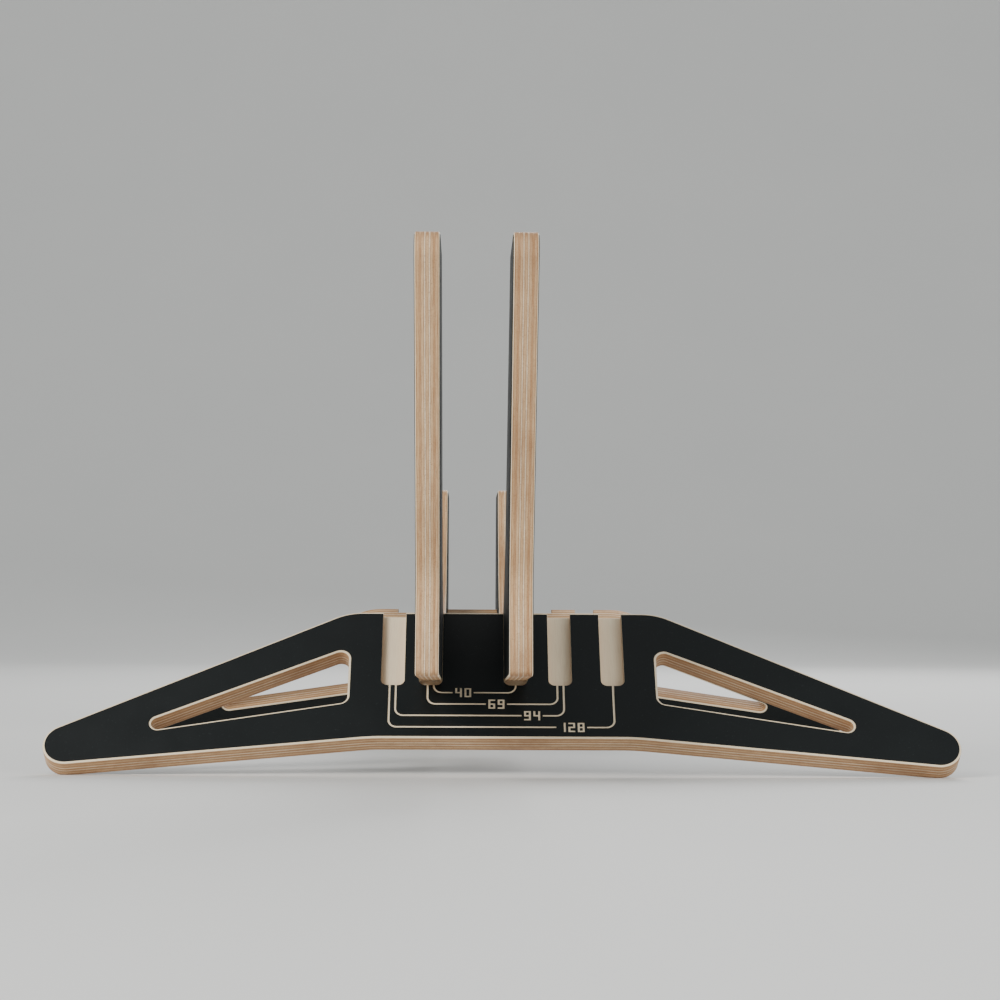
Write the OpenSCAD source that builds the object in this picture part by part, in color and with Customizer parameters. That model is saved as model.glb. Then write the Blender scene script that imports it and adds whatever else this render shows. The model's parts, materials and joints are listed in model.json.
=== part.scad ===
// Free-standing floor stand for a bicycle wheel, cut from film-faced birch plywood.
// Two upright side panels hold the wheel between them. Two leaning cross members are
// the feet. The four boards interlock: each panel has an open slot that straddles a
// cross member, and its nose sits in a shallow pocket in the member's outer face.
// Pairs of pockets give four widths between the panels.
// Frame: +X across the stand, +Y from its front to its back, +Z up. The origin is on
// the floor, at the middle of the space that the stand takes up.

/* [Boards] */
// Thickness of every board, with its film
board_t = 14.6; // [12:0.1:18]
// Thickness of the black film on each face
film_t = 0.4; // [0.3:0.1:0.6]
// Width of the bare line between a board's edge and its film
film_margin = 1.4; // [0.8:0.1:2.4]

/* [Tyre settings] */
// Which pair of pockets the side panels stand in
setting = 1; // [1, 2, 3, 4]
// Space between the panels at setting 1
gap_1 = 40.4; // [34:0.1:48]
// Space between the panels at setting 2
gap_2 = 69.4; // [66:0.1:72]
// Space between the panels at setting 3
gap_3 = 94; // [90:0.1:98]
// Space between the panels at setting 4
gap_4 = 128; // [122:0.1:136]

/* [Cross members] */
// Lean of the front cross member from the vertical, in degrees
front_lean = 38; // [31:0.5:44]
// Lean of the rear cross member from the vertical, in degrees
rear_lean = 36.5; // [31:0.5:44]
// Width of a cross member from tip to tip
cross_w = 582.5; // [500:1:710]
// Height of a cross member, measured up its slope
cross_h = 121; // [114:0.5:146]
// Width of the level top, between the corners of the shoulders
cross_top_w = 204; // [190:1:230]
// Radius of the shoulders
shoulder_r = 40; // [20:1:60]
// Radius of the rounded tips
tip_r = 15; // [12:0.5:18]
// Height of the arch under the middle
arch_h = 20.5; // [14:0.5:24]
// Width of the arch's level part, between its corners
arch_w = 168; // [140:1:200]
// Radius of the arch's corners
arch_r = 150; // [60:5:250]
// Distance between the top outer edges of the two cross members
cross_gap = 325; // [305:0.5:390]
// Height of the flat that is planed off the foot of each tip
foot_flat = 1.0; // [0.4:0.1:1.2]

/* [Windows] */
// Distance from the middle of the member to a window's upright side
window_x = 100.3; // [96:0.5:106]
// Height of the window's upper corner above the foot, up the slope
window_top = 91.3; // [84:0.1:93]
// Height of the window's lower corner above the foot, up the slope
window_low = 48.4; // [44:0.1:54]
// Distance from the middle of the tip's round back to the window's point
window_tip_back = 23.2; // [20:0.1:40]
// Height of the window's point above the middle of the tip's round
window_tip_up = 5.6; // [4:0.1:9]
// Radius of the window's two inner corners
window_r = 5.5; // [3:0.5:7]
// Radius of the window's point
window_tip_r = 4.4; // [3:0.1:5]

/* [Pockets and slots] */
// Depth of a pocket in the member's outer face
pocket_d = 5; // [4:0.1:6]
// Length of a pocket, down the slope from the top edge
pocket_len = 59.2; // [50:0.1:65]
// Radius of the pocket's bottom corners
pocket_r = 4; // [2:0.5:6]
// Width of the bare line between a pocket's mouth and the film
pocket_margin = 0.25; // [0.2:0.05:0.8]
// Space between a panel and each side of its pocket
pocket_play = 0.1; // [0.1:0.05:0.4]
// Space between a panel's slot and each face of the member in it
slot_play = 0.2; // [0.1:0.05:0.5]
// Space between the end of the slot and the member's top edge
seat_play = 0.1; // [0.05:0.05:0.3]
// Space between the bottom of a panel's nose and the rounds at the pocket's end
nose_play = 0.3; // [0.2:0.1:1]

/* [Side panels] */
// Height of the front arm's top above the floor
front_top = 316; // [280:0.5:380]
// Height of the rear arm's top above the floor
rear_top = 202; // [180:0.5:230]
// Distance from the middle of the stand to the nose's lower corner
nose_front = 346; // [300:1:360]
// Lean of the nose's front edge from the vertical, its foot forward, in degrees
nose_lean = 12.5; // [0:0.5:20]
// Height of the nose's lower corner above the floor
nose_low = 67.2; // [64:0.1:76]
// Height at which the nose bends into the front arm
nose_top = 121; // [110:1:130]
// Lean of the front arm's front edge and the rear arm's inner edge, in degrees
arm_lean = 26.5; // [20:0.1:30]
// Width of the front arm's top end
front_arm_w = 100; // [80:1:120]
// Distance from the middle of the stand to the back of the panel
rear_back = 289; // [270:1:320]
// Distance from the rear member's top edge in to the well's rear corner
well_in = 34.5; // [25:0.5:45]
// Height of the well's lowest point above the floor
well_low = 96; // [90:0.5:100]
// Radius of the well's corners
well_r = 160; // [120:1:165]
// Radius of the arms' end corners
arm_r = 11; // [8:0.5:12]
// Radius of the bend between the nose and the arm
bend_r = 30; // [15:1:60]
// Radius of the nose's lower corners
nose_r = 4; // [2:0.5:8]

/* [Engraving] */
// Width of an engraved line
line_w = 1.3; // [1:0.1:1.6]
// Radius of a line's bends, at its middle
line_r = 5.2; // [3:0.1:6]
// Distance from the pockets' ends down to the first row
row_first = 6; // [5:0.1:7]
// Distance from one row to the next
row_pitch = 8.95; // [8.4:0.05:9.4]
// Distance from a pocket's middle to each of two lines that share it
line_offset = 2; // [1.5:0.1:3]
// Height of a numeral
numeral_h = 7.4; // [5:0.1:7.6]
// Width of a numeral
numeral_w = 4.4; // [3.6:0.1:5]
// Space between numerals, and between a number and its line
numeral_space = 1.6; // [1.2:0.1:2]

/* [Hidden] */

ply_colour = [0.80, 0.66, 0.50];
film_colour = [0.06, 0.07, 0.07];
front = 1;
rear = -1;
// How far a rounded corner's straight pieces may stray from the true arc
arc_sag = 0.012;
// How far a cutter runs past the face that it cuts
past = 1;

// Pocket places across the stand, from the four gaps. The first and last mirror.
pocket_a = -(gap_4 + board_t) / 2;
pocket_d_x = pocket_a + gap_3 + board_t;
pocket_b = pocket_d_x - gap_2 - board_t;
pocket_c = pocket_b + gap_1 + board_t;
pocket_e = -pocket_a;
pockets = [pocket_a, pocket_b, pocket_c, pocket_d_x, pocket_e];
pocket_w = board_t + 2 * pocket_play;
pocket_end = cross_h - pocket_len;

// Each setting is [left pocket, right pocket, left line's shift, right line's shift,
// where its number stands between the two]
settings = [
    [pocket_b, pocket_c, line_offset, 0, 0.36],
    [pocket_b, pocket_d_x, -line_offset, -line_offset, 0.53],
    [pocket_a, pocket_d_x, line_offset, line_offset, 0.81],
    [pocket_a, pocket_e, -line_offset, 0, 0.81]];
left_x = settings[setting - 1][0];
right_x = settings[setting - 1][1];

// What is left of a member's thickness behind a pocket
web_t = board_t - pocket_d;
// A square board can't reach the pocket's end: it stops where the end's rounds begin to
// close in, and the panel's belly is level with that place on the member's outer face
end_rise = pocket_r - sqrt(pow(pocket_r, 2) - pow(max(pocket_r - pocket_play, 0), 2));
belly_at = pocket_end + end_rise + nose_play;

function lean_of(side) = side == front ? front_lean : rear_lean;

// How far the foot of a member's inner face stands from the middle of the stand
function foot_of(side) =
    cross_gap / 2 + cross_h * sin(lean_of(side)) - board_t * cos(lean_of(side));

// The place on a member's outer face where the belly meets it: how far out, and how high
function belly_of(side) = [
    foot_of(side) + board_t * cos(lean_of(side)) - belly_at * sin(lean_of(side)),
    board_t * sin(lean_of(side)) + belly_at * cos(lean_of(side)) - foot_flat];

function unit(v) = v / norm(v);
function direction(angle) = [cos(angle), sin(angle)];
function next_of(list, i) = list[(i + 1) % len(list)];
function previous_of(list, i) = list[(i + len(list) - 1) % len(list)];
function place(corner) = [corner[0], corner[1]];

// The angle of the line from point p that just touches a circle, above or below it
function touch_angle(p, centre, r, side) =
    atan2(centre.y - p.y, centre.x - p.x) + side * asin(r / norm(centre - p));

// Where the line from p at one angle meets the line from q at another
function meet(p, p_angle, q, q_angle) =
    p + direction(p_angle)
        * cross(q - p, direction(q_angle)) / cross(direction(p_angle), direction(q_angle));

// The points of one rounded corner: corners are [x, y, radius], counter-clockwise
function corner_arc(before, corner, after) =
    let (
        p = place(corner),
        r = corner[2],
        way_in = unit(p - place(before)),
        way_out = unit(place(after) - p),
        turn = atan2(cross(way_in, way_out), way_in * way_out),
        start = p - way_in * r * tan(abs(turn) / 2),
        centre = start + r * sign(turn) * [-way_in.y, way_in.x],
        from = atan2(start.y - centre.y, start.x - centre.x),
        steps = r == 0 ? 1 : ceil(abs(turn) / (2 * acos(1 - arc_sag / r))))
    r == 0 ? [p] : [for (i = [0:steps]) centre + r * direction(from + turn * i / steps)];

function rounded(corners) =
    [for (i = [0:len(corners) - 1])
        each corner_arc(previous_of(corners, i), corners[i], next_of(corners, i))];

// The corners of an outline whose every edge is moved outward by d
function grown(corners, d) =
    [for (i = [0:len(corners) - 1])
        let (
            p = place(corners[i]),
            way_in = unit(p - place(previous_of(corners, i))),
            way_out = unit(place(next_of(corners, i)) - p),
            n_in = [way_in.y, -way_in.x],
            n_out = [way_out.y, -way_out.x],
            moved = p + d * (n_in + n_out) / (1 + n_in * n_out),
            bend = sign(cross(way_in, way_out)))
        [moved.x, moved.y, corners[i][2] + d * bend]];

// Corners of a cross member's outline, in its own plane: x across it, y up its slope
tip_centre = [cross_w / 2 - tip_r, tip_r];
shoulder = [cross_top_w / 2, cross_h];
arch_corner = [arch_w / 2, arch_h];
apex = meet(shoulder, touch_angle(shoulder, tip_centre, tip_r, 1),
    arch_corner, touch_angle(arch_corner, tip_centre, tip_r, -1));
cross_corners = [
    [arch_corner.x, arch_corner.y, arch_r],
    [apex.x, apex.y, tip_r],
    [shoulder.x, shoulder.y, shoulder_r],
    [-shoulder.x, shoulder.y, shoulder_r],
    [-apex.x, apex.y, tip_r],
    [-arch_corner.x, arch_corner.y, arch_r]];
window_corners = [
    [window_x, window_low, window_r],
    [tip_centre.x - window_tip_back, tip_centre.y + window_tip_up, window_tip_r],
    [window_x, window_top, window_r]];

// Corners of a side panel's outline, from the side: x from front to back, y up
arm_slope = tan(arm_lean);
bend_x = -nose_front + (nose_top - nose_low) * tan(nose_lean);
front_out = bend_x - (front_top - nose_top) * arm_slope;
front_in = front_out + front_arm_w;
well_front = -cross_gap / 2;
well_rear = cross_gap / 2 - well_in;
rear_in = well_rear + (rear_top - well_low) * arm_slope;
panel_corners = [
    [-nose_front, nose_low, nose_r],
    [-belly_of(front).x, belly_of(front).y, nose_r],
    [belly_of(rear).x, belly_of(rear).y, nose_r],
    [rear_back, nose_low, nose_r],
    [rear_back, rear_top, arm_r],
    [rear_in, rear_top, arm_r],
    [well_rear, well_low, well_r],
    [well_front, well_low, well_r],
    [front_in, front_top, arm_r],
    [front_out, front_top, arm_r],
    [bend_x, nose_top, bend_r]];

// The stand's own middle, from front to back, is the origin
panel_points = rounded(panel_corners);
panel_ys = [for (p = panel_points) p.x];
middle_y = (min(panel_ys) + max(panel_ys)) / 2;

// One pocket's shape, open at the top edge, with its edges moved out by d
module pocket_shape(x, d) {
    half = pocket_w / 2 + d;
    over = cross_h + past;
    polygon(rounded([
        [x - half, pocket_end - d, pocket_r + d],
        [x + half, pocket_end - d, pocket_r + d],
        [x + half, over, 0],
        [x - half, over, 0]]));
}

// A cross member's outline less its windows, with its edges moved by d
module cross_shape(d) {
    difference() {
        polygon(rounded(grown(cross_corners, d)));
        polygon(rounded(grown(window_corners, -d)));
        mirror([1, 0]) polygon(rounded(grown(window_corners, -d)));
    }
}

// Which of seven strokes make each numeral: a top, b and c right, d bottom,
// e and f left, g middle
strokes_of = ["abcdef", "bc", "abdeg", "abcdg", "bcfg",
    "acdfg", "acdefg", "abc", "abcdefg", "abcdfg"];

module numeral_stroke(name) {
    k = line_w;
    mid = (numeral_h - k) / 2;
    tall = mid + k;
    if (name == "a") translate([0, numeral_h - k]) square([numeral_w, k]);
    if (name == "b") translate([numeral_w - k, mid]) square([k, tall]);
    if (name == "c") translate([numeral_w - k, 0]) square([k, tall]);
    if (name == "d") square([numeral_w, k]);
    if (name == "e") square([k, tall]);
    if (name == "f") translate([0, mid]) square([k, tall]);
    if (name == "g") translate([0, mid]) square([numeral_w, k]);
}

function number_w(digits) = len(digits) * (numeral_w + numeral_space) - numeral_space;

// A whole number, centred on the point x, y
module number_shape(digits, x, y) {
    for (i = [0:len(digits) - 1])
        translate([x - number_w(digits) / 2 + i * (numeral_w + numeral_space), y - numeral_h / 2])
            for (name = strokes_of[ord(digits[i]) - ord("0")]) numeral_stroke(name);
}

// The line that joins one setting's two pockets, with the gap's width as its number.
// A line turned to the other face swaps its left and right ends.
module setting_line(i, side) {
    s = settings[i];
    row = pocket_end - row_first - i * row_pitch;
    ends = [side * (s[0] + s[2]), side * (s[1] + s[3])];
    x1 = min(ends);
    x2 = max(ends);
    h = line_w / 2;
    up = pocket_end + past;
    digits = str(round(s[1] - s[0] - board_t));
    number_x = ends[0] + (ends[1] - ends[0]) * s[4];
    break_w = number_w(digits) + 2 * numeral_space;
    difference() {
        polygon(rounded([
            [x1 - h, up, 0], [x1 - h, row - h, line_r + h],
            [x2 + h, row - h, line_r + h], [x2 + h, up, 0],
            [x2 - h, up, 0], [x2 - h, row + h, line_r - h],
            [x1 + h, row + h, line_r - h], [x1 + h, up, 0]]));
        translate([number_x - break_w / 2, row - line_w]) square([break_w, 2 * line_w]);
    }
    number_shape(digits, number_x, row);
}

// Stands a cross member's flat shape up in its place: front member or rear member
module stand_cross(side) {
    translate([0, -middle_y, 0])
        rotate([0, 0, side == front ? 0 : 180])
            translate([0, -foot_of(side), -foot_flat])
                rotate([90 - lean_of(side), 0, 0]) children();
}

// Everything below the floor, which planes the feet flat
module below_floor() {
    translate([-cross_w, -cross_w, -cross_h]) cube([2 * cross_w, 2 * cross_w, cross_h]);
}

module cross_core(side) {
    color(ply_colour)
        difference() {
            stand_cross(side) difference() {
                translate([0, 0, film_t])
                    linear_extrude(board_t - 2 * film_t) cross_shape(0);
                for (x = pockets)
                    translate([0, 0, web_t]) linear_extrude(pocket_d + past) pocket_shape(side * x, 0);
            }
            below_floor();
        }
}

module cross_film_outer(side) {
    color(film_colour)
        stand_cross(side)
            translate([0, 0, board_t - film_t]) linear_extrude(film_t) difference() {
                cross_shape(-film_margin);
                for (x = pockets) pocket_shape(side * x, pocket_margin);
                for (i = [0:len(settings) - 1]) setting_line(i, side);
            }
}

module cross_film_inner(side) {
    color(film_colour)
        stand_cross(side) linear_extrude(film_t) cross_shape(-film_margin);
}

// The slot in a panel that straddles one cross member, from the side, as at the front
module slot_shape(side) {
    translate([-foot_of(side), -foot_flat])
        rotate(90 - lean_of(side))
            translate([0, -slot_play]) square([cross_h + seat_play, web_t + 2 * slot_play]);
}

// A side panel's shape with both slots, its edges moved by d
module panel_shape(d) {
    difference() {
        polygon(rounded(grown(panel_corners, d)));
        slot_shape(front);
        mirror([1, 0]) slot_shape(rear);
    }
}

// Stands a panel's layer up: its lower face is at x, and it is t thick
module stand_panel(x, t) {
    translate([x, -middle_y, 0]) rotate([90, 0, 90]) linear_extrude(t) children();
}

module panel_core(x) {
    color(ply_colour)
        stand_panel(x - board_t / 2 + film_t, board_t - 2 * film_t) panel_shape(0);
}

// The film on one face of the panel at x: side is 1 for its +X face
module panel_film(x, side) {
    color(film_colour)
        stand_panel(x + side * (board_t - film_t) / 2 - film_t / 2, film_t)
            panel_shape(-film_margin);
}

module front_cross_core() cross_core(front);
module front_cross_film_outer() cross_film_outer(front);
module front_cross_film_inner() cross_film_inner(front);
module rear_cross_core() cross_core(rear);
module rear_cross_film_outer() cross_film_outer(rear);
module rear_cross_film_inner() cross_film_inner(rear);
module left_panel_core() panel_core(left_x);
module left_panel_film_outer() panel_film(left_x, -1);
module left_panel_film_inner() panel_film(left_x, 1);
module right_panel_core() panel_core(right_x);
module right_panel_film_outer() panel_film(right_x, 1);
module right_panel_film_inner() panel_film(right_x, -1);

front_cross_core();
front_cross_film_outer();
front_cross_film_inner();
rear_cross_core();
rear_cross_film_outer();
rear_cross_film_inner();
left_panel_core();
left_panel_film_outer();
left_panel_film_inner();
right_panel_core();
right_panel_film_outer();
right_panel_film_inner();
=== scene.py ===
"""Looks for the plywood wheel stand: bare birch plywood boards faced with black film.

Every board keeps its CAD shape. Modifiers only break its sharp edges, and the wood is
a solid texture in the board's own thickness, so that each cut shows its plies.
"""

import json
import math

import bmesh
import bpy
from mathutils import Matrix, Vector

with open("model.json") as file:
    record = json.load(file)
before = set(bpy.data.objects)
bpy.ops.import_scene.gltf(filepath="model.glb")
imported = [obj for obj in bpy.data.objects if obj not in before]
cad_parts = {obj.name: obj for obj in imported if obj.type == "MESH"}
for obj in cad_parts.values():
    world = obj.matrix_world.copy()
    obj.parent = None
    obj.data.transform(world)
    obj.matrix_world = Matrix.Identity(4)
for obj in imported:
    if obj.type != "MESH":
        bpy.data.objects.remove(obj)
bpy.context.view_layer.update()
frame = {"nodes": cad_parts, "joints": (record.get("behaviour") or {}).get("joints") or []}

MM = 0.001
RIGHT = Vector((1, 0, 0))
BACK = Vector((0, 1, 0))
UP = Vector((0, 0, 1))
DOWN = Vector((0, 0, -1))

# The boards' edges: corners closer than JOIN_WITHIN are one, edges sharper than SHARP
# are broken, and those up to SMOOTH_UP_TO are shaded smooth
JOIN_WITHIN = 0.002 * MM
SHARP = math.radians(35)
SMOOTH_UP_TO = math.radians(28)
EDGE_BREAK = 0.8 * MM
EDGE_STEPS = 3

# A cross member's pockets lie this far to each side of its middle, and between these
# heights up its slope. Their edges are broken by a share of EDGE_BREAK
POCKETS_TO_SIDE = 82 * MM
POCKETS_ABOVE_FEET = 50 * MM
POCKETS_BELOW_TOP = 0.3 * MM
POCKET_BREAK = 0.2

# The panels' slots keep sharp edges where they hold a cross member, and this far past its
# top edge and its inner face
SLOT_MARGIN = 1 * MM
NO_BREAK = 0.0

# The plies: how many, and how far they wander from flat
PLIES = 11
WANDER_BY = 0.7 * MM

# Every ply takes its fibres and specks from another place in the same noise
FIBRE_SHIFT = 0.37
SPECK_SHIFT = 0.11

# How far the wood's pattern is drawn out: this share of the distance along the grain is
# left out for fibres, and this share of the distance in the layers is kept for streaks
FIBRE_LEFT_OUT = 0.965
STREAK_KEPT = 0.03

# Noises: cells to a metre, detail and roughness
PLY_WANDER = (14.0, 3.0, 0.5)
FIBRES = (2400.0, 3.0, 0.62)
BANDS = (330.0, 3.0, 0.55)
STREAKS = (2600.0, 3.0, 0.65)
WOOD_SPECKS = (1300.0, 2.0, 0.6)
SCORCHED_STRETCHES = (11.0, 3.0, 0.5)
# Patches of painted shade on the undersides
UNDERSIDE_SHADE_PATCHES = (160.0, 3.0, 0.5)
FILM_CLOUD = (22.0, 4.0, 0.6)
FILM_TOOTH = (1900.0, 2.0, 0.6)
FILM_SPECKS = (950.0, 1.0, 0.4)
FILM_RUB = (9.0, 5.0, 0.7)
FLOOR_CLOUD = (3.0, 3.0, 0.5)

# Ramps: the values between which each one rises or falls, and what it gives at the two
ON_A_FACE = (0.45, 0.75, 0.0, 1.0)
ON_END_GRAIN = (0.35, 0.95, 0.0, 1.0)
IN_A_PORE = (0.42, 0.70, 0.0, 1.0)
NEAR_PALEST_PLY = (0.16, 0.40, 0.95, 0.0)
PORE_SHARE = (0.0, 1.0, 0.18, 0.42)
IN_DARK_STREAK = (0.48, 0.70, 0.0, 0.50)
IN_PALE_STREAK = (0.46, 0.28, 0.0, 0.40)
IN_WOOD_SPECK = (0.57, 0.72, 0.0, 0.45)
NEAR_GLUE = (0.40, 0.49, 0.0, 1.0)
IN_SCORCHED_STRETCH = (0.46, 0.74, 0.0, 0.42)
# Painted shade: how far an edge must face down before it is darkened
ON_SHADED_UNDERSIDE = (0.1, 0.9, 0.0, 0.35)
WOOD_ROUGHNESS = (0.3, 0.75, 0.46, 0.66)
IN_FILM_SPECK = (0.66, 0.80, 0.0, 0.5)
IN_RUB_MARK = (0.60, 0.72, 0.0, 1.0)
FILM_ROUGHNESS = (0.3, 0.7, 0.40, 0.52)

# How strongly a colour is laid over the ones before it
END_GRAIN_SHARE = 0.70
BAND_SHARE = 0.34
GLUE_SHARE = 0.42
VENEER_BAND_SHARE = 0.45
VENEER_PORE_SHARE = 0.14

# Surfaces: how they shine, how deep their finest relief goes, and what makes it
WOOD_SPECULAR = 0.38
FILM_SPECULAR = 0.30
BACKDROP_ROUGHNESS = 0.7
RUB_GLOSS = 0.06
TOOTH_ROUGHNESS = 0.06
WOOD_RELIEF = 0.08 * MM
FILM_RELIEF = 0.02 * MM
RELIEF_STRENGTH = 0.5
PORE_DEPTH = 0.6
GLUE_DEPTH = 0.5

# How much the rub marks are drawn together along each axis
RUB_SQUEEZE = (26.0, 9.0, 60.0)

# What the photograph is taken with: a long lens, low and close to the middle
CAMERA_AHEAD = 1.4915
CAMERA_LEFT = 0.0235
CAMERA_HEIGHT = 0.110
CAMERA_REACH = 100
SENSOR_WIDTH = 36
FOCAL_PER_WIDTH = 2.242
YAW = math.radians(0.830)
PITCH = math.radians(2.62)
ROLL = math.radians(0.28)

# The studio's sweep: where its curve starts behind the stand, how round it is, and how
# far its floor and wall go
SWEEP_START = 2.4
SWEEP_RADIUS = 2.5
SWEEP_STEPS = 24
SWEEP_REACH = 9.0

# The light: a dim sky and three softboxes, each with its place, size, watts and tint
SKY_STRENGTH = 0.72
STAND_MIDDLE = (0, 0, 0.12)
WARM = (1.0, 0.98, 0.95)
WHITE = (1, 1, 1)
SOFTBOXES = {
    "key": ((-1.5, -1.7, 1.25), (1.0, 1.0), 44, WARM),
    "fill": ((1.9, -1.5, 0.9), (1.4, 1.0), 16, WHITE),
    "back": ((0.6, 1.9, 1.5), (1.4, 0.9), 30, WHITE),
}


def srgb(r, g, b):
    """A colour given in 0 to 255, as linear light."""
    def linear(v):
        v /= 255
        return v / 12.92 if v <= 0.04045 else ((v + 0.055) / 1.055) ** 2.4
    return linear(r), linear(g), linear(b), 1.0


# Birch where it is cut across its plies
DARK_PLY = srgb(216, 176, 130)
LIGHT_PLY = srgb(236, 202, 158)
PALEST_PLY = srgb(255, 240, 208)
END_GRAIN = srgb(190, 142, 96)
BAND = srgb(158, 108, 66)
PORE = srgb(132, 90, 58)
DARK_STREAK = srgb(140, 92, 54)
PALE_STREAK = srgb(252, 230, 194)
WOOD_SPECK = srgb(120, 76, 44)
GLUE = srgb(104, 68, 42)
# Brown for real scorch marks, and for painted shade on the undersides
SCORCH_AND_SHADE = srgb(118, 76, 44)

# Birch on a face, a pocket's floor or a broken edge
PALE_VENEER = srgb(255, 240, 210)
VENEER_BAND = srgb(240, 208, 164)
VENEER_PORE = srgb(186, 142, 100)

# Film, backdrop and sky
DARK_FILM = srgb(7, 12, 13)
LIGHT_FILM = srgb(15, 21, 22)
FILM_SPECK = srgb(44, 50, 50)
DARK_FLOOR = srgb(228, 229, 228)
LIGHT_FLOOR = srgb(234, 234, 232)
SKY = srgb(222, 224, 224)


class Shader:
    """A material's node tree, with a short call for each kind of node."""

    def __init__(self, name):
        self.material = bpy.data.materials.new(name)
        self.material.use_nodes = True
        self.tree = self.material.node_tree
        self.surface = self.tree.nodes["Principled BSDF"]

    def put(self, value, socket):
        if isinstance(value, bpy.types.NodeSocket):
            self.tree.links.new(value, socket)
        else:
            socket.default_value = value

    def node(self, kind, inputs, output=0, **settings):
        made = self.tree.nodes.new(kind)
        for key, value in settings.items():
            setattr(made, key, value)
        for key, value in inputs.items():
            self.put(value, made.inputs[key])
        return made.outputs[output]

    def math(self, operation, a, b=0.0):
        return self.node("ShaderNodeMath", {0: a, 1: b}, operation=operation)

    def vector(self, operation, a, b):
        return self.node("ShaderNodeVectorMath", {0: a, 1: b}, operation=operation)

    def dot(self, a, b):
        return self.node("ShaderNodeVectorMath", {0: a, 1: b}, "Value", operation="DOT_PRODUCT")

    def scaled(self, a, factor):
        return self.node("ShaderNodeVectorMath", {0: a, "Scale": factor}, operation="SCALE")

    def away(self, a, b):
        """The distance between two numbers, whichever is larger."""
        return self.math("ABSOLUTE", self.math("SUBTRACT", a, b))

    def noise(self, where, pattern):
        scale, detail, roughness = pattern
        return self.node(
            "ShaderNodeTexNoise",
            {"Vector": where, "Scale": scale, "Detail": detail, "Roughness": roughness})

    def ramp(self, value, ramp):
        """Goes smoothly from first, where the value is start, to last, where it is stop."""
        start, stop, first, last = ramp
        return self.node(
            "ShaderNodeMapRange", {0: value, 1: start, 2: stop, 3: first, 4: last},
            interpolation_type="SMOOTHSTEP")

    def mix(self, share, a, b):
        """A colour that goes from a to b as the share goes from 0 to 1."""
        made = self.tree.nodes.new("ShaderNodeMix")
        made.data_type = "RGBA"
        self.put(share, made.inputs["Factor"])
        self.put(a, made.inputs[6])
        self.put(b, made.inputs[7])
        return made.outputs[2]

    def finish(self, colour, roughness, specular, height, relief):
        """Puts what was worked out on the surface."""
        self.put(colour, self.surface.inputs["Base Color"])
        self.put(roughness, self.surface.inputs["Roughness"])
        self.put(specular, self.surface.inputs["Specular IOR Level"])
        bump = self.node(
            "ShaderNodeBump", {"Strength": RELIEF_STRENGTH, "Distance": relief, "Height": height})
        self.put(bump, self.surface.inputs["Normal"])


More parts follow.
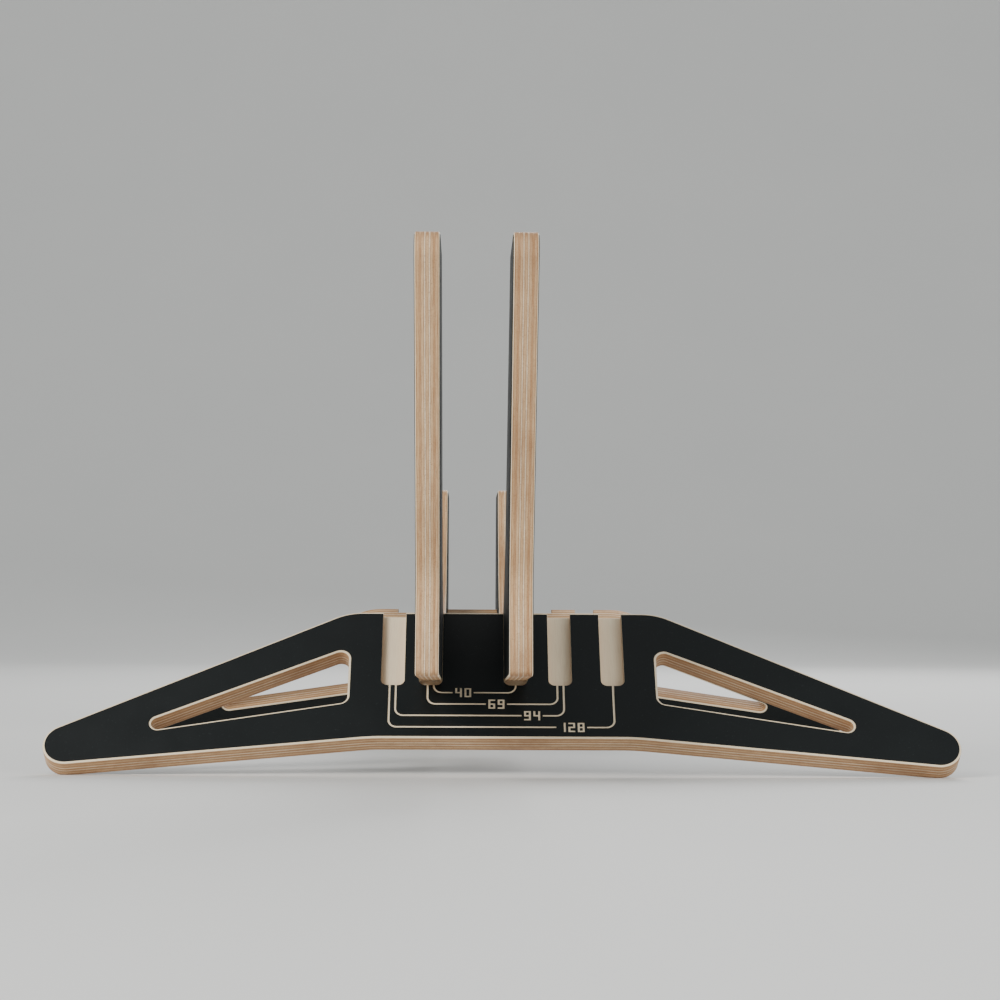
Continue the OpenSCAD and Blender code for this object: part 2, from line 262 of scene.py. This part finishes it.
class Plywood(Shader):
    """Birch plywood as a solid: plies along normal, whose grain turns from one to the next."""

    def __init__(self, name, normal, grain, across, low, high):
        super().__init__(name)
        self.normal = normal
        self.place = self.node("ShaderNodeTexCoord", {}, "Object")
        self.facing = self.node("ShaderNodeTexCoord", {}, "Normal")
        self.lay_plies(low, high)
        self.run_grain(grain, across)
        colour = self.ply_colour()
        colour = self.with_figure(colour)
        colour = self.with_cutter_marks(colour)
        colour = self.with_glue(colour)
        # Browner scorched stretches, and painted shade on the undersides
        colour = self.with_scorching_and_painted_shade(colour)
        colour = self.mix(self.flat, colour, self.veneer_colour())
        roughness = self.ramp(self.fibres, WOOD_ROUGHNESS)
        pores = self.math("MULTIPLY", self.fibres, -PORE_DEPTH)
        height = self.math("SUBTRACT", pores, self.math("MULTIPLY", self.glue, GLUE_DEPTH))
        self.finish(colour, roughness, WOOD_SPECULAR, height, WOOD_RELIEF)

    def lay_plies(self, low, high):
        """Which ply a point is in, and whether it shows on a face or on a cut edge."""
        depth = self.math("SUBTRACT", self.dot(self.place, self.normal), low)
        wander = self.math("SUBTRACT", self.noise(self.place, PLY_WANDER), 0.5)
        self.depth = self.math("ADD", depth, self.math("MULTIPLY", wander, WANDER_BY))
        self.ply = self.math("MULTIPLY", self.depth, PLIES / (high - low))
        self.number = self.math("FLOOR", self.ply)
        self.numbers = self.node(
            "ShaderNodeCombineXYZ", {0: self.number, 1: self.number, 2: self.number})
        facing_out = self.math("ABSOLUTE", self.dot(self.facing, self.normal))
        self.flat = self.ramp(facing_out, ON_A_FACE)

    def run_grain(self, grain, across):
        """Fibres run along this ply's own grain, so a cut across them shows pores."""
        odd = self.math("GREATER_THAN", self.math("FLOORED_MODULO", self.number, 2.0), 0.5)
        along = self.node(
            "ShaderNodeMix", {"Factor": odd, 4: grain, 5: across}, 1, data_type="VECTOR")
        left_out = self.math("MULTIPLY", self.dot(self.place, along), FIBRE_LEFT_OUT)
        drawn_out = self.vector("SUBTRACT", self.place, self.scaled(along, left_out))
        drawn_out = self.vector("ADD", drawn_out, self.scaled(self.numbers, FIBRE_SHIFT))
        self.fibres = self.noise(drawn_out, FIBRES)
        self.bands = self.noise(drawn_out, BANDS)
        self.pores = self.ramp(self.fibres, IN_A_PORE)
        facing_along = self.math("ABSOLUTE", self.dot(self.facing, along))
        self.end_grain = self.ramp(facing_along, ON_END_GRAIN)

    def ply_colour(self):
        """Each ply has its own tone, and the two beside the middle one are the palest."""
        tone = self.node("ShaderNodeTexWhiteNoise", {"W": self.number}, noise_dimensions="1D")
        colour = self.mix(tone, DARK_PLY, LIGHT_PLY)
        share = self.math("MULTIPLY", self.end_grain, END_GRAIN_SHARE)
        colour = self.mix(share, colour, END_GRAIN)
        from_palest = self.away(self.away(self.ply, PLIES / 2), 1.0)
        pale = self.ramp(from_palest, NEAR_PALEST_PLY)
        return self.mix(pale, colour, PALEST_PLY)

    def with_figure(self, colour):
        """Darker bands and pores, which show most on end grain."""
        colour = self.mix(self.math("MULTIPLY", self.bands, BAND_SHARE), colour, BAND)
        share = self.ramp(self.end_grain, PORE_SHARE)
        return self.mix(self.math("MULTIPLY", self.pores, share), colour, PORE)

    def with_cutter_marks(self, colour):
        """Fine streaks that lie in the plies, and specks where the cutter tore a fibre."""
        out = self.dot(self.place, self.normal)
        in_layers = self.vector("SUBTRACT", self.place, self.scaled(self.normal, out))
        layered = self.vector(
            "ADD", self.scaled(in_layers, STREAK_KEPT), self.scaled(self.normal, self.depth))
        streaks = self.noise(layered, STREAKS)
        speck_place = self.vector("ADD", self.place, self.scaled(self.numbers, SPECK_SHIFT))
        specks = self.noise(speck_place, WOOD_SPECKS)
        colour = self.mix(self.ramp(streaks, IN_DARK_STREAK), colour, DARK_STREAK)
        colour = self.mix(self.ramp(streaks, IN_PALE_STREAK), colour, PALE_STREAK)
        return self.mix(self.ramp(specks, IN_WOOD_SPECK), colour, WOOD_SPECK)

    def with_glue(self, colour):
        """Dark glue lines between the plies, on cut edges only."""
        from_mid_ply = self.away(self.math("FRACT", self.ply), 0.5)
        on_cut_edge = self.math("SUBTRACT", 1.0, self.flat)
        self.glue = self.math("MULTIPLY", self.ramp(from_mid_ply, NEAR_GLUE), on_cut_edge)
        return self.mix(self.math("MULTIPLY", self.glue, GLUE_SHARE), colour, GLUE)

    def with_scorching_and_painted_shade(self, colour):
        """The cutter leaves some stretches browner, and painted shade browns the undersides in
        patches, as if they were shaded from the light above.
        """
        stretches = self.noise(self.place, SCORCHED_STRETCHES)
        stretches = self.ramp(stretches, IN_SCORCHED_STRETCH)
        # Painted shade: edges that face down are darkened in patches
        shaded_underside = self.ramp(self.dot(self.facing, DOWN), ON_SHADED_UNDERSIDE)
        shade_patches = self.noise(self.place, UNDERSIDE_SHADE_PATCHES)
        scorch_and_shade = self.math("ADD", stretches, self.math("MULTIPLY", shaded_underside, shade_patches))
        return self.mix(scorch_and_shade, colour, SCORCH_AND_SHADE)

    def veneer_colour(self):
        """A face, a pocket's floor or a broken edge is pale, with a faint figure."""
        banded = self.math("MULTIPLY", self.bands, VENEER_BAND_SHARE)
        porous = self.math("MULTIPLY", self.pores, VENEER_PORE_SHARE)
        return self.mix(porous, self.mix(banded, PALE_VENEER, VENEER_BAND), VENEER_PORE)


def film():
    """Black phenolic film: satin, with the paper's fine tooth and faint rub marks."""
    skin = Shader("black_film")
    place = skin.node("ShaderNodeTexCoord", {}, "Object")
    cloud = skin.noise(place, FILM_CLOUD)
    tooth = skin.noise(place, FILM_TOOTH)
    speck = skin.ramp(skin.noise(place, FILM_SPECKS), IN_FILM_SPECK)
    rub = skin.noise(skin.vector("MULTIPLY", place, RUB_SQUEEZE), FILM_RUB)
    rub = skin.ramp(rub, IN_RUB_MARK)
    colour = skin.mix(speck, skin.mix(cloud, DARK_FILM, LIGHT_FILM), FILM_SPECK)
    roughness = skin.ramp(cloud, FILM_ROUGHNESS)
    roughness = skin.math("ADD", roughness, skin.math("MULTIPLY", rub, -RUB_GLOSS))
    roughness = skin.math("ADD", roughness, skin.math("MULTIPLY", tooth, TOOTH_ROUGHNESS))
    skin.finish(colour, roughness, FILM_SPECULAR, tooth, FILM_RELIEF)
    return skin.material


def edge_group(name):
    """An empty geometry node group with a mesh in and a mesh out, and a call to add nodes."""
    group = bpy.data.node_groups.new(name, "GeometryNodeTree")
    group.interface.new_socket("Mesh", in_out="INPUT", socket_type="NodeSocketGeometry")
    group.interface.new_socket("Mesh", in_out="OUTPUT", socket_type="NodeSocketGeometry")
    start = group.nodes.new("NodeGroupInput")
    end = group.nodes.new("NodeGroupOutput")

    def add(kind, inputs, output=0, **settings):
        made = group.nodes.new(kind)
        for key, value in settings.items():
            setattr(made, key, value)
        for key, value in inputs.items():
            if isinstance(value, bpy.types.NodeSocket):
                group.links.new(value, made.inputs[key])
            else:
                made.inputs[key].default_value = value
        return made.outputs[output]

    return group, start.outputs[0], end.inputs[0], add


def smoothing():
    """Shades a mesh smooth, except across its sharp edges."""
    group, mesh, result, add = edge_group("smooth_by_angle")
    angle = add("GeometryNodeInputMeshEdgeAngle", {}, "Unsigned Angle")
    sharp = add("FunctionNodeCompare", {0: angle, 1: SMOOTH_UP_TO}, operation="GREATER_THAN")
    mesh = add("GeometryNodeSetShadeSmooth", {0: mesh, 2: True}, domain="FACE")
    mesh = add("GeometryNodeSetShadeSmooth", {0: mesh, 1: sharp, 2: False}, domain="EDGE")
    group.links.new(mesh, result)
    return group


def edge_weights(name, zones):
    """Weights the outward sharp edges for bevelling: 1, or a zone's own weight inside it.

    A zone is two bands and a weight, and a band is (axis, low, high). The zone holds the
    edges whose middles lie in both bands.
    """
    group, mesh, result, add = edge_group(name)
    angle = add("GeometryNodeInputMeshEdgeAngle", {}, "Signed Angle")
    outward = add("FunctionNodeCompare", {0: angle, 1: SHARP}, operation="GREATER_THAN")
    place = add("GeometryNodeInputPosition", {})

    def calculate(operation, a, b):
        return add("ShaderNodeMath", {0: a, 1: b}, operation=operation)

    def inside(axis, low, high):
        along = add("ShaderNodeVectorMath", {0: place, 1: axis}, "Value", operation="DOT_PRODUCT")
        above = calculate("GREATER_THAN", along, low)
        below = calculate("LESS_THAN", along, high)
        return calculate("MULTIPLY", above, below)

    weight = calculate("MULTIPLY", outward, 1.0)
    for band_1, band_2, zone_weight in zones:
        in_both = calculate("MULTIPLY", inside(*band_1), inside(*band_2))
        loss = calculate("MULTIPLY", in_both, 1.0 - zone_weight)
        weight = calculate("MULTIPLY", weight, calculate("SUBTRACT", 1.0, loss))
    mesh = add(
        "GeometryNodeStoreNamedAttribute",
        {"Geometry": mesh, "Name": "bevel_weight_edge", "Value": weight},
        data_type="FLOAT", domain="EDGE")
    group.links.new(mesh, result)
    return group


def join_corners(piece):
    """Joins the CAD mesh's split corners."""
    piece.modifiers.new("weld", "WELD").merge_threshold = JOIN_WITHIN


def break_edges(piece, weights):
    """Softens the outward edges that a weight group picks."""
    piece.modifiers.new("edge_weights", "NODES").node_group = weights
    bevel = piece.modifiers.new("edge_break", "BEVEL")
    bevel.limit_method = "WEIGHT"
    bevel.width = EDGE_BREAK
    bevel.segments = EDGE_STEPS
    bevel.use_clamp_overlap = False
    bevel.loop_slide = False
    bevel.miter_outer = "MITER_ARC"


def shade_smooth(piece, smooth):
    piece.modifiers.new("smooth", "NODES").node_group = smooth


def paint(piece, material):
    piece.data.materials.clear()
    piece.data.materials.append(material)


def offsets(node, normal):
    """How far a node reaches along a direction, lowest and highest."""
    along = [vertex.co.dot(normal) for vertex in frame["nodes"][node].data.vertices]
    return min(along), max(along)


def faces_of(board, normal):
    """Where a board's two faces lie along its normal, lowest and highest."""
    ends = offsets(board + "_film_inner", normal) + offsets(board + "_film_outer", normal)
    return min(ends), max(ends)


def slope_of(member):
    """Up a cross member's slope: the opposite way to the joint that pulls it out."""
    joint = next(j for j in frame["joints"] if j["name"] == member + "_slide")
    return -Vector(joint["axis"])


def dress_core(board, wood, zones, smooth):
    """The bare wood of a board, with its edges broken."""
    core = frame["nodes"][board + "_core"]
    join_corners(core)
    break_edges(core, edge_weights(board + "_edges", zones))
    shade_smooth(core, smooth)
    paint(core, wood.material)


def dress_films(board, film_paint, smooth):
    """The two films that face a board."""
    for face in ("_film_outer", "_film_inner"):
        skin = frame["nodes"][board + face]
        join_corners(skin)
        shade_smooth(skin, smooth)
        paint(skin, film_paint)


def dress_cross(member, film_paint, smooth):
    """Dresses a cross member, and gives the zone in which the panels' slots hold it."""
    up = slope_of(member)
    outward = RIGHT.cross(up)
    if member == "rear_cross":
        outward = -outward
    low, high = faces_of(member, outward)
    bottom, top = offsets(member + "_core", up)
    wood = Plywood(member + "_plywood", outward, RIGHT, up, low, high)
    side_band = (RIGHT, -POCKETS_TO_SIDE, POCKETS_TO_SIDE)
    height_band = (up, bottom + POCKETS_ABOVE_FEET, top - POCKETS_BELOW_TOP)
    dress_core(member, wood, [(side_band, height_band, POCKET_BREAK)], smooth)
    dress_films(member, film_paint, smooth)
    return (up, bottom, top + SLOT_MARGIN), (outward, low - SLOT_MARGIN, high), NO_BREAK


def dress_panel(panel, slots, film_paint, smooth):
    low, high = faces_of(panel, RIGHT)
    wood = Plywood(panel + "_plywood", RIGHT, BACK, UP, low, high)
    dress_core(panel, wood, slots, smooth)
    dress_films(panel, film_paint, smooth)


def dress_stand():
    film_paint = film()
    smooth = smoothing()
    slots = [dress_cross(member, film_paint, smooth) for member in ("front_cross", "rear_cross")]
    for panel in ("left_panel", "right_panel"):
        dress_panel(panel, slots, film_paint, smooth)


def sweep_profile():
    """The backdrop seen from the side: a level floor, a quarter round and an upright wall."""
    profile = [(-SWEEP_REACH, 0.0), (SWEEP_START, 0.0)]
    for step in range(1, SWEEP_STEPS + 1):
        angle = math.radians(90) * step / SWEEP_STEPS
        back = SWEEP_START + SWEEP_RADIUS * math.sin(angle)
        height = SWEEP_RADIUS * (1 - math.cos(angle))
        profile.append((back, height))
    profile.append((SWEEP_START + SWEEP_RADIUS, SWEEP_REACH))
    return profile


def backdrop_paint():
    """Pale paint, hardly clouded."""
    paper = Shader("studio_backdrop")
    place = paper.node("ShaderNodeTexCoord", {}, "Object")
    tint = paper.mix(paper.noise(place, FLOOR_CLOUD), DARK_FLOOR, LIGHT_FLOOR)
    paper.put(tint, paper.surface.inputs["Base Color"])
    paper.put(BACKDROP_ROUGHNESS, paper.surface.inputs["Roughness"])
    return paper.material


def backdrop():
    """A pale floor that sweeps up behind the stand, so that no horizon shows."""
    profile = sweep_profile()
    built = bmesh.new()
    left = [built.verts.new((-SWEEP_REACH, y, z)) for y, z in profile]
    right = [built.verts.new((SWEEP_REACH, y, z)) for y, z in profile]
    for i in range(len(profile) - 1):
        built.faces.new((left[i], right[i], right[i + 1], left[i + 1])).smooth = True
    mesh = bpy.data.meshes.new("studio_backdrop")
    built.to_mesh(mesh)
    built.free()
    sweep = bpy.data.objects.new("studio_backdrop", mesh)
    bpy.context.collection.objects.link(sweep)
    paint(sweep, backdrop_paint())


def softbox(name, place, size, watts, tint):
    """A soft lamp that looks at the middle of the stand."""
    data = bpy.data.lights.new(name, "AREA")
    data.shape = "RECTANGLE"
    data.size, data.size_y = size
    data.energy = watts
    data.color = tint
    lamp = bpy.data.objects.new(name, data)
    lamp.location = place
    look = Vector(STAND_MIDDLE) - Vector(place)
    lamp.rotation_euler = look.to_track_quat("-Z", "Y").to_euler()
    bpy.context.collection.objects.link(lamp)


def studio():
    world = bpy.data.worlds.new("studio")
    world.use_nodes = True
    sky = world.node_tree.nodes["Background"]
    sky.inputs["Color"].default_value = SKY
    sky.inputs["Strength"].default_value = SKY_STRENGTH
    bpy.context.scene.world = world
    for name, (place, size, watts, tint) in SOFTBOXES.items():
        softbox(name, place, size, watts, tint)


def camera():
    """Stands the camera ahead of the front member's top edge, as the photograph has it."""
    data = bpy.data.cameras.new("camera")
    data.sensor_width = SENSOR_WIDTH
    data.lens = FOCAL_PER_WIDTH * SENSOR_WIDTH
    data.clip_end = CAMERA_REACH
    eye = bpy.data.objects.new("camera", data)
    core = [vertex.co for vertex in frame["nodes"]["front_cross_core"].data.vertices]
    top_edge = max(core, key=lambda place: place.z)
    eye.location = (-CAMERA_LEFT, top_edge.y - CAMERA_AHEAD, CAMERA_HEIGHT)
    look = Vector((
        math.sin(YAW) * math.cos(PITCH),
        math.cos(YAW) * math.cos(PITCH),
        math.sin(PITCH)))
    level = look.to_track_quat("-Z", "Y").to_matrix().to_4x4()
    eye.rotation_mode = "QUATERNION"
    eye.rotation_quaternion = (level @ Matrix.Rotation(ROLL, 4, "Z")).to_quaternion()
    bpy.context.collection.objects.link(eye)
    bpy.context.scene.camera = eye


dress_stand()
backdrop()
studio()
camera()
